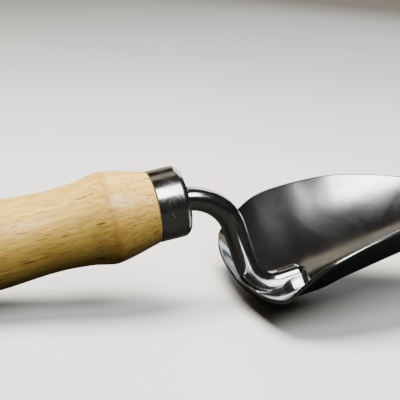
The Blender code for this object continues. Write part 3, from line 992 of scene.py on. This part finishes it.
@dataclass
class NeckBar:
    """The round bar: a tang in the handle, a crank behind the blade and a toe on its floor."""

    radius: float = 4.5 * MM
    tang: float = 50.0 * MM
    straight_out: float = 11.0 * MM
    upper_radius: float = 19.0 * MM
    crank: float = math.radians(80.0)
    drop: float = 16.6 * MM
    lower_radius: float = 12.1 * MM
    toe_angle: float = math.radians(4.0)
    toe_length: float = 10.0 * MM
    toe_rounding: float = 3.4 * MM
    toe_roundness: float = 0.86
    toe_rings: int = 12
    sides: int = 72

    @property
    def upper_centre(self) -> Vector:
        """Centre of the upper bend."""
        return Vector((self.straight_out, 0.0, -self.upper_radius))

    @property
    def lower_centre(self) -> Vector:
        """Centre of the lower bend."""
        side = Vector((math.sin(self.crank), 0.0, math.cos(self.crank)))
        heading = Vector((math.cos(self.crank), 0.0, -math.sin(self.crank)))
        return self.upper_centre + side * (self.upper_radius + self.lower_radius) + heading * self.drop

    @property
    def toe_heading(self) -> Vector:
        """Direction of the toe."""
        return Vector((math.cos(self.toe_angle), 0.0, math.sin(self.toe_angle)))

    @property
    def toe_start(self) -> Vector:
        """Where the lower bend ends and the toe begins."""
        down = Vector((math.sin(self.toe_angle), 0.0, -math.cos(self.toe_angle)))
        return self.lower_centre + down * self.lower_radius

    @property
    def toe_end(self) -> Vector:
        """The front end of the bar's centre line."""
        return self.toe_start + self.toe_heading * self.toe_length

    def height(self, x: float) -> float:
        """Give the height of the centre line where the bar lies on the blade.

        Args:
            x: the place along the tool.

        Returns:
            The height.
        """
        if x >= self.toe_start.x:
            return self.toe_start.z + (x - self.toe_start.x) * math.tan(self.toe_angle)
        run = min(abs(x - self.lower_centre.x), self.lower_radius)
        return self.lower_centre.z - math.sqrt(self.lower_radius**2 - run**2)

    def push_on(
        self, shape: bmesh.types.BMesh, ring: list, heading: Vector, length: float, steps: int
    ) -> list:
        """Extrude the bar's open end straight on.

        Args:
            shape: the bar so far.
            ring: the edges of its open end.
            heading: which way to go.
            length: how far.
            steps: in how many steps.

        Returns:
            The edges of the new end.
        """
        for _ in range(steps):
            grown = bmesh.ops.extrude_edge_only(shape, edges=ring)["geom"]
            verts = [part for part in grown if isinstance(part, bmesh.types.BMVert)]
            ring = [part for part in grown if isinstance(part, bmesh.types.BMEdge)]
            ring = [edge for edge in ring if edge.verts[0] in verts and edge.verts[1] in verts]
            bmesh.ops.translate(shape, vec=heading * (length / steps), verts=verts)
        return ring

    def bend(self, shape: bmesh.types.BMesh, ring: list, centre: Vector, angle: float, steps: int) -> list:
        """Spin the bar's open end round a bend.

        Args:
            shape: the bar so far.
            ring: the edges of its open end.
            centre: the centre of the bend.
            angle: how far it turns, about +Y.
            steps: in how many steps.

        Returns:
            The edges of the new end.
        """
        verts = list({vertex for edge in ring for vertex in edge.verts})
        last = bmesh.ops.spin(
            shape,
            geom=verts + ring,
            cent=centre,
            axis=(0.0, 1.0, 0.0),
            dvec=(0.0, 0.0, 0.0),
            angle=angle,
            steps=steps,
            use_merge=False,
            use_duplicate=False,
        )["geom_last"]
        return [part for part in last if isinstance(part, bmesh.types.BMEdge)]

    def round_off(self, shape: bmesh.types.BMesh, ring: list) -> None:
        """Close the toe with a rounded end.

        Args:
            shape: the bar so far.
            ring: the edges of its open end.
        """
        start = self.toe_end - self.toe_heading * self.toe_rounding
        centre, size = start, 1.0
        for step in range(1, self.toe_rings + 1):
            angle = math.pi / 2 * step / self.toe_rings
            place = start + self.toe_heading * self.toe_rounding * math.sin(angle)
            wanted = 1.0 - (1.0 - math.cos(angle)) * self.toe_roundness
            grown = bmesh.ops.extrude_edge_only(shape, edges=ring)["geom"]
            verts = [part for part in grown if isinstance(part, bmesh.types.BMVert)]
            ring = [part for part in grown if isinstance(part, bmesh.types.BMEdge)]
            ring = [edge for edge in ring if edge.verts[0] in verts and edge.verts[1] in verts]
            about = Matrix.Translation(-centre)
            bmesh.ops.scale(shape, vec=(wanted / size,) * 3, space=about, verts=verts)
            bmesh.ops.translate(shape, vec=place - centre, verts=verts)
            centre, size = place, wanted
        bmesh.ops.holes_fill(shape, edges=ring, sides=0)

    def build(self, tool: ToolFrame, material: bpy.types.Material) -> bpy.types.Object:
        """Make the bar.

        Args:
            tool: the tool's frame.
            material: its steel.

        Returns:
            The piece.
        """
        shape = bmesh.new()
        start = Matrix.Translation((-self.tang, 0.0, 0.0)) @ Matrix.Rotation(math.pi / 2, 4, "Y")
        bmesh.ops.create_circle(shape, cap_ends=False, segments=self.sides, radius=self.radius, matrix=start)
        first = shape.edges[:]
        forward = Vector((1.0, 0.0, 0.0))
        ring = self.push_on(shape, first, forward, self.tang, 8)
        ring = self.push_on(shape, ring, forward, self.straight_out, 14)
        ring = self.bend(shape, ring, self.upper_centre, self.crank, 44)
        heading = Vector((math.cos(self.crank), 0.0, -math.sin(self.crank)))
        ring = self.push_on(shape, ring, heading, self.drop, 20)
        ring = self.bend(shape, ring, self.lower_centre, -(self.crank + self.toe_angle), 44)
        ring = self.push_on(shape, ring, self.toe_heading, self.toe_length - self.toe_rounding, 10)
        self.round_off(shape, ring)
        bmesh.ops.holes_fill(shape, edges=first, sides=0)
        bmesh.ops.recalc_face_normals(shape, faces=shape.faces[:])
        piece = mesh_object("cranked_bar", shape)
        tool.place(piece, 60.0)
        settle(piece, material, ["neck"])
        return piece


@dataclass
class Blade:
    """The pressed scoop: a dished heel that wraps the bar's lower bend, a keel and two flared sides."""

    bar: NeckBar
    sheet: float = 1.5 * MM
    gap: float = 0.3 * MM
    length: float = 123.0 * MM
    width: float = 42.05 * MM
    rear_width: float = 40.3 * MM
    rear_bow: float = 3.2 * MM
    corner_length: float = 6.0 * MM
    corner_power: float = 3.4
    heel_back: float = 0.945
    rim_drop: float = 17.3 * MM
    keel: float = 3.0 * MM
    keel_clearance: float = 0.2 * MM
    tip_run: float = 2.46 * MM
    row_end: float = 0.93
    row_crowding: float = 0.6
    rear_bow_run: float = 0.2
    tip_bow_run: float = 0.125
    column_crowding: float = 0.55
    rows: int = 116
    columns: int = 68

    WIDTHS = ((0.0, 0.945), (0.10, 0.972), (0.195, 1.0), (0.335, 0.935), (0.46, 0.845), (0.58, 0.735),
              (0.68, 0.635), (0.78, 0.525), (0.87, 0.405), (0.94, 0.27), (0.98, 0.14), (1.0, 0.02))
    RIM_FALLS = ((0.0, 15.0), (0.045, 13.95), (0.085, 10.65), (0.14, 6.45), (0.19, 3.6), (0.255, 1.8),
                 (0.34, 0.6), (0.44, 0.0), (0.58, 2.03), (0.68, 4.8), (0.83, 8.56), (1.0, 10.7))
    CLIMBS = ((0.10, 0.17), (0.28, 0.34), (0.615, 0.62), (1.0, 1.0))
    POWERS = ((0.0, 0.75), (0.05, 1.05), (0.10, 1.25), (0.22, 1.42), (0.42, 1.65), (1.0, 2.0))

    def __post_init__(self) -> None:
        """Work out what follows from the bar."""
        self.heel_radius = self.bar.lower_radius + self.bar.radius + self.gap + self.keel_clearance
        self.low = self.bar.lower_centre.z - self.heel_radius
        self.rear_x = self.bar.lower_centre.x - self.heel_back * self.heel_radius
        self.tip_x = self.rear_x + self.length
        toe = self.bar.toe_end.x
        tip_height = self.rim(self.tip_x)
        rise = (toe - self.bar.lower_centre.x) * math.tan(self.bar.toe_angle)
        self.floor_line = [(self.bar.lower_centre.x, self.low), (toe, self.low + rise)]
        for run, climb in self.CLIMBS:
            place = toe + (self.tip_x - toe) * run
            self.floor_line.append((place, self.low + (tip_height - self.low) * climb))

    def share(self, x: float) -> float:
        """Tell how far along the blade a place is, from 0 to 1."""
        return (x - self.rear_x) / self.length

    def half_width(self, x: float) -> float:
        """Give the half-width before the rear corners are rounded."""
        return self.width * curve_through(self.WIDTHS, self.share(x))

    def rim(self, x: float) -> float:
        """Give the height of the rim, which falls towards both ends."""
        return -self.rim_drop - MM * curve_through(self.RIM_FALLS, self.share(x))

    def floor(self, x: float) -> float:
        """Give the height of the keel, which follows the bar's lower bend behind its lowest place.

        Args:
            x: the place along the tool.

        Returns:
            The height.
        """
        behind = self.bar.lower_centre.x - x
        if behind <= 0.0:
            return curve_through(self.floor_line, x)
        behind = min(behind, self.heel_back * self.heel_radius)
        return self.bar.lower_centre.z - math.sqrt(self.heel_radius**2 - behind**2)

    def inside(self, x: float, y: float) -> float:
        """Give the height of the inner face.

        Args:
            x: the place along the tool.
            y: the place across it.

        Returns:
            The height.
        """
        outward = math.hypot(y, self.keel) - self.keel
        share = outward / (math.hypot(self.half_width(x), self.keel) - self.keel)
        low = self.floor(x)
        return low + (self.rim(x) - low) * share ** curve_through(self.POWERS, self.share(x))

    def rear_curve(self, y: float) -> float:
        """Tell how far ahead of the middle the rear outline is.

        Args:
            y: the place across the tool.

        Returns:
            The distance.
        """
        share = min(1.0, abs(y) / self.rear_width)
        corner = 1.0 - (1.0 - share**self.corner_power) ** (1.0 / self.corner_power)
        return self.rear_bow * share**2 + self.corner_length * corner

    def rear_reach(self, x: float) -> float:
        """Give the half-width at which the rear outline passes a place, by halving the range.

        Args:
            x: the place along the tool.

        Returns:
            The half-width.
        """
        low, high = 0.0, self.rear_width
        for _ in range(30):
            middle = (low + high) / 2
            if self.rear_x + self.rear_curve(middle) < x:
                low = middle
            else:
                high = middle
        return high

    def point(self, along: float, across: float) -> Vector:
        """Place a point of the inner face.

        Args:
            along: from 0 at the rear edge to 1 at the tip.
            across: from -1 to 1 between the rims.

        Returns:
            The point, in the tool's frame.
        """
        corner_y = self.row_end * self.rear_width
        start = self.rear_x + self.rear_curve(corner_y)
        end = self.tip_x - self.tip_run
        row_x = start + (end - start) * crowd_ends(along, self.row_crowding)
        reach = self.half_width(row_x)
        if row_x < self.rear_x + self.rear_bow + self.corner_length:
            reach = min(reach, self.rear_reach(row_x))
        spread = across + self.column_crowding * (math.sin(math.pi / 2 * across) - across)
        y = spread * reach
        rear_bow = max(0.0, 1.0 - along / self.rear_bow_run) ** 2
        tip_bow = max(0.0, 1.0 - (1.0 - along) / self.tip_bow_run) ** 2
        x = row_x + rear_bow * (self.rear_curve(spread * corner_y) - self.rear_curve(corner_y))
        x += tip_bow * self.tip_run * (1.0 - spread**2)
        return Vector((x, y, self.inside(x, y)))

    def build(self, tool: ToolFrame, material: bpy.types.Material) -> bpy.types.Object:
        """Make the blade as one open sheet with a wall and softened rims.

        Args:
            tool: the tool's frame.
            material: its steel.

        Returns:
            The piece.
        """
        shape = bmesh.new()
        bmesh.ops.create_grid(shape, x_segments=self.rows, y_segments=self.columns, size=1.0)
        for vertex in shape.verts:
            vertex.co = self.point((vertex.co.x + 1.0) / 2.0, vertex.co.y)
        piece = mesh_object("pressed_blade", shape)
        tool.place(piece, 180.0)
        wall = piece.modifiers.new("Sheet", "SOLIDIFY")
        wall.thickness = self.sheet
        wall.offset = -1.0
        wall.use_even_offset = True
        wall.use_quality_normals = True
        smooth = piece.modifiers.new("Softened", "SUBSURF")
        smooth.levels = 1
        smooth.render_levels = 1
        settle(piece, material, ["blade"])
        return piece


@dataclass
class ToeWeld:
    """The dressed weld that runs along both sides of the bar's toe and round its end.

    Its section has a hollow skin from the bar to the blade, a foot just under the blade's inner face and a
    root that is hidden in the bar.
    """

    bar: NeckBar
    blade: Blade
    leg: float = 5.4 * MM
    toe_leg: float = 2.2 * MM
    back: float = 19.0 * MM
    climb: float = math.radians(27.0)
    climb_end: float = math.radians(-78.0)
    bite: float = 0.1 * MM
    end_run: float = 1.0 / 3.4
    nose_back: float = 0.72
    longest_lead: float = 0.62
    skin_part: float = 0.5
    floor_part: float = 0.3
    root_width: float = 0.8
    root_rise: float = 0.9
    ripple: float = 0.03
    ripple_count: float = 41.0
    along_steps: int = 220
    round_steps: int = 40

    def path(self, share: float) -> tuple[Vector, Vector]:
        """Follow the foot of the bar from one side's rear end, round the toe, to the other's.

        Args:
            share: how far along the run, from 0 to 1.

        Returns:
            A point on the bar's outline seen from above, and the direction outwards from the bar.
        """
        turn_radius = self.bar.radius
        centre_x = self.bar.toe_end.x - turn_radius * self.nose_back
        straight = self.back - turn_radius * (1.0 - self.nose_back)
        curve = math.pi * turn_radius
        place = share * (2.0 * straight + curve)
        if place < straight:
            return Vector((centre_x - straight + place, -turn_radius, 0.0)), Vector((0.0, -1.0, 0.0))
        if place > straight + curve:
            return Vector((centre_x - (place - straight - curve), turn_radius, 0.0)), Vector((0.0, 1.0, 0.0))
        angle = (place - straight) / turn_radius - math.pi / 2
        outward = Vector((math.cos(angle), math.sin(angle), 0.0))
        return Vector((centre_x, 0.0, 0.0)) + outward * turn_radius, outward

    def point(self, share: float, turn: float) -> Vector:
        """Place a point of the bead's skin.

        Args:
            share: how far along the run, from 0 to 1.
            turn: how far round the section, from 0 to 1.

        Returns:
            The point, in the tool's frame.
        """
        foot, outward = self.path(share)
        grown = min(1.0, share / self.end_run, (1.0 - share) / self.end_run)
        grown = grown * grown * (3.0 - 2.0 * grown)
        climb = self.climb_end + (self.climb - self.climb_end) * grown
        reach = self.bar.radius - self.bite
        axis = foot - outward * self.bar.radius
        leg = self.leg + (self.toe_leg - self.leg) * max(0.0, outward.x) ** 1.5
        leg *= max(0.05, grown) * (1.0 + self.ripple * math.sin(share * self.ripple_count))
        side = reach * math.cos(climb)
        high = axis + outward * side
        top = self.bar.height(foot.x) + reach * math.sin(climb)
        low = high + outward * leg
        if turn < self.skin_part:
            t = turn / self.skin_part
            floor = self.blade.inside(high.x, high.y)
            lead = (top - floor) * math.tan(max(0.1, climb))
            bend = high + outward * min(self.longest_lead * leg, lead)
            knee = self.blade.inside(bend.x, bend.y)
            ground = self.blade.inside(low.x, low.y) - self.bite
            shares = ((1.0 - t) ** 2, 2.0 * t * (1.0 - t), t**2)
            spot = high * shares[0] + bend * shares[1] + low * shares[2]
            height = top * shares[0] + knee * shares[1] + ground * shares[2]
            return Vector((spot.x, spot.y, height))
        t = min(1.0, (turn - self.skin_part) / self.floor_part)
        inner = axis + outward * self.root_width * side
        spot = low.lerp(inner, t)
        under = self.blade.inside(spot.x, spot.y) - 2.0 * self.bite
        back_face = self.skin_part + self.floor_part
        rise = max(0.0, (turn - back_face) / (1.0 - back_face))
        return Vector((spot.x, spot.y, under)).lerp(Vector((high.x, high.y, top)), self.root_rise * rise)

    def build(self, tool: ToolFrame, material: bpy.types.Material) -> bpy.types.Object:
        """Make the weld.

        Args:
            tool: the tool's frame.
            material: its steel.

        Returns:
            The piece.
        """
        shape = bmesh.new()
        bmesh.ops.create_grid(shape, x_segments=self.along_steps, y_segments=self.round_steps, size=0.5)
        for vertex in shape.verts:
            vertex.co = self.point(vertex.co.x + 0.5, vertex.co.y + 0.5)
        bmesh.ops.remove_doubles(shape, verts=shape.verts[:], dist=0.004 * MM)
        open_edges = [edge for edge in shape.edges if edge.is_boundary]
        bmesh.ops.holes_fill(shape, edges=open_edges, sides=0)
        axes = {"use_axis_x": True, "use_axis_y": True, "use_axis_z": True}
        bmesh.ops.smooth_vert(shape, verts=shape.verts[:], factor=0.5, **axes)
        bmesh.ops.recalc_face_normals(shape, faces=shape.faces[:])
        piece = mesh_object("toe_weld", shape)
        tool.place(piece, 75.0)
        settle(piece, material, ["weld_left", "weld_right", "weld_toe"])
        return piece


# ------------------------------------------------------------ the studio


@dataclass(frozen=True)
class SoftLight:
    """One soft rectangular light that points at a place and may be kept out of the steel's reflections."""

    name: str
    place: tuple[float, float, float]
    target: tuple[float, float, float]
    width: float
    height: float
    power: float
    colour: Colour = (1.0, 1.0, 1.0)
    seen_in_steel: bool = True

    def build(self) -> None:
        """Hang the light."""
        data = bpy.data.lights.new(self.name, "AREA")
        data.shape = "RECTANGLE"
        data.size = self.width
        data.size_y = self.height
        data.energy = self.power
        data.color = self.colour
        lamp = bpy.data.objects.new(self.name, data)
        lamp.visible_glossy = self.seen_in_steel
        lamp.location = self.place
        aim = Vector(self.target) - Vector(self.place)
        lamp.rotation_euler = aim.to_track_quat("-Z", "Y").to_euler()
        bpy.context.scene.collection.objects.link(lamp)


@dataclass(frozen=True)
class Viewpoint:
    """The camera: where it stands, and how it is turned."""

    eye: tuple[float, float, float] = (-0.1277, -0.3747, 0.1533)
    azimuth: float = 18.3
    elevation: float = 15.99
    roll: float = 4.32
    lens: float = 99.0

    def build(self) -> None:
        """Set up the camera."""
        data = bpy.data.cameras.new("camera")
        data.lens = self.lens
        data.sensor_width = 36.0
        data.clip_start = 0.01
        data.clip_end = 50.0
        camera = bpy.data.objects.new("camera", data)
        turn = Matrix.Rotation(math.radians(-self.azimuth), 4, "Z")
        turn = turn @ Matrix.Rotation(math.radians(90.0 - self.elevation), 4, "X")
        turn = turn @ Matrix.Rotation(math.radians(self.roll), 4, "Z")
        camera.matrix_world = Matrix.Translation(self.eye) @ turn
        bpy.context.scene.collection.objects.link(camera)
        bpy.context.scene.camera = camera


@dataclass(frozen=True)
class Studio:
    """A pale bench, soft lights and a plain surround that looks darker in reflections; the bench is
    near-black to reflections and bounce light, a painted dark reflection and painted shade.
    """

    bench: Colour = (0.78, 0.77, 0.74)
    bench_painted_reflection_and_shade: Colour = (0.015, 0.015, 0.014)
    surround: Colour = (0.80, 0.79, 0.76)
    surround_reflected: Colour = (0.02, 0.02, 0.02)
    size: float = 12.0

    def floor(self) -> None:
        """Lay the bench: pale to the camera and near-black to every other ray, which paints a dark
        reflection in the steel and paints shade on undersides by taking away bounce light.
        """
        shape = bmesh.new()
        bmesh.ops.create_grid(shape, x_segments=8, y_segments=8, size=self.size / 2)
        floor = mesh_object("bench", shape)
        material, graph, shader = start_material("pale_bench")
        path = graph.add("ShaderNodeLightPath")
        source = graph.add("ShaderNodeTexCoord")
        cloud = graph.noise(source.outputs["Object"], 9.0, 4.0)
        pale = graph.mix(graph.vary(cloud, 0.3, 0.7, 0.0, 0.35), (*self.bench, 1.0), (0.70, 0.69, 0.66, 1.0))
        # painted dark reflection and painted shade: camera rays see the pale bench, reflections and bounce
        # light see near-black
        shade = graph.mix(path.outputs["Is Camera Ray"], (*self.bench_painted_reflection_and_shade, 1.0), pale)
        graph.link(shade, shader.inputs["Base Color"])
        shader.inputs["Roughness"].default_value = 0.9
        shader.inputs["Specular IOR Level"].default_value = 0.1
        floor.data.materials.append(material)

    def world(self) -> None:
        """Set the surround."""
        world = bpy.data.worlds.new("surround")
        world.use_nodes = True
        graph = NodeGraph(world.node_tree)
        background = world.node_tree.nodes["Background"]
        path = graph.add("ShaderNodeLightPath")
        dark, pale = (*self.surround_reflected, 1.0), (*self.surround, 1.0)
        shade = graph.mix(path.outputs["Is Camera Ray"], dark, pale)
        graph.link(shade, background.inputs["Color"])
        background.inputs["Strength"].default_value = 1.0
        bpy.context.scene.world = world

    def lights(self) -> None:
        """Hang the lights."""
        tool, blade = (0.05, 0.0, 0.03), (0.08, 0.0, 0.03)
        grip, front = (-0.02, 0.0, 0.03), (0.06, 0.0, 0.03)
        for light in (
            SoftLight("overhead_wash", (-0.04, 0.08, 0.62), grip, 0.50, 0.36, 13.0, WARM_WHITE, False),
            SoftLight("front_softbox", (0.11, -0.38, 0.62), blade, 0.34, 0.36, 4.6),
            SoftLight("far_cool_softbox", (0.48, 0.75, 0.56), tool, 0.50, 0.75, 3.0, COOL),
            SoftLight("upper_warm_card", (-0.10, 0.40, 0.88), front, 0.50, 0.30, 0.22, (1.0, 0.86, 0.66)),
            SoftLight("far_warm_card", (0.25, 1.55, 0.42), tool, 1.8, 0.7, 2.4, (1.0, 0.84, 0.58)),
        ):
            light.build()

    def build(self) -> None:
        """Set up the floor, the surround and the lights."""
        self.floor()
        self.world()
        self.lights()


# ------------------------------------------------------------ main


STEEL = {
    Slot.FERRULE: SteelFinish(
        "polished_ferrule", (0.60, 0.59, 0.57), (0.47, 0.46, 0.44), 0.15, 0.27, 1.0, 340.0, 0.09 * MM
    ),
    Slot.NECK: SteelFinish(
        "polished_bar", (0.56, 0.56, 0.56), (0.46, 0.46, 0.45), 0.14, 0.20, 0.6, 300.0, 0.04 * MM
    ),
    Slot.BLADE: SteelFinish(
        "polished_sheet", (0.54, 0.54, 0.54), (0.46, 0.46, 0.45), 0.17, 0.215, 0.35, 180.0, 0.05 * MM
    ),
    Slot.WELD: SteelFinish(
        "dressed_weld", (0.55, 0.55, 0.54), (0.45, 0.44, 0.42), 0.20, 0.28, 0.4, 300.0, 0.12 * MM, 180.0
    ),
}


def main() -> None:
    """Build the studio and every piece of the tool, in order."""
    logging.basicConfig(level=logging.INFO, format="%(name)s: %(message)s")
    Viewpoint().build()
    Studio().build()
    groups = EffectGroups.build()
    ferrule = Ferrule()
    tool = ToolFrame.from_record(frame["record"], ferrule.length, ferrule.mount_height)
    handle = Handle(ferrule)
    bar = NeckBar()
    blade = Blade(bar)
    wood = WoodFinish().build(groups, tool, -handle.ridge_back, -handle.length)
    steel = {slot: finish.build(groups, tool) for slot, finish in STEEL.items()}
    handle.build(tool, wood)
    ferrule.build(tool, steel[Slot.FERRULE])
    bar.build(tool, steel[Slot.NECK])
    blade.build(tool, steel[Slot.BLADE])
    ToeWeld(bar, blade).build(tool, steel[Slot.WELD])
    adhesive = frame["nodes"]["tang_adhesive"]
    adhesive.data.materials.clear()
    adhesive.data.materials.append(AdhesiveFinish().build(groups, tool))
    LOG.info("tang_adhesive: kept, with its own finish")


if __name__ == "__main__":
    main()
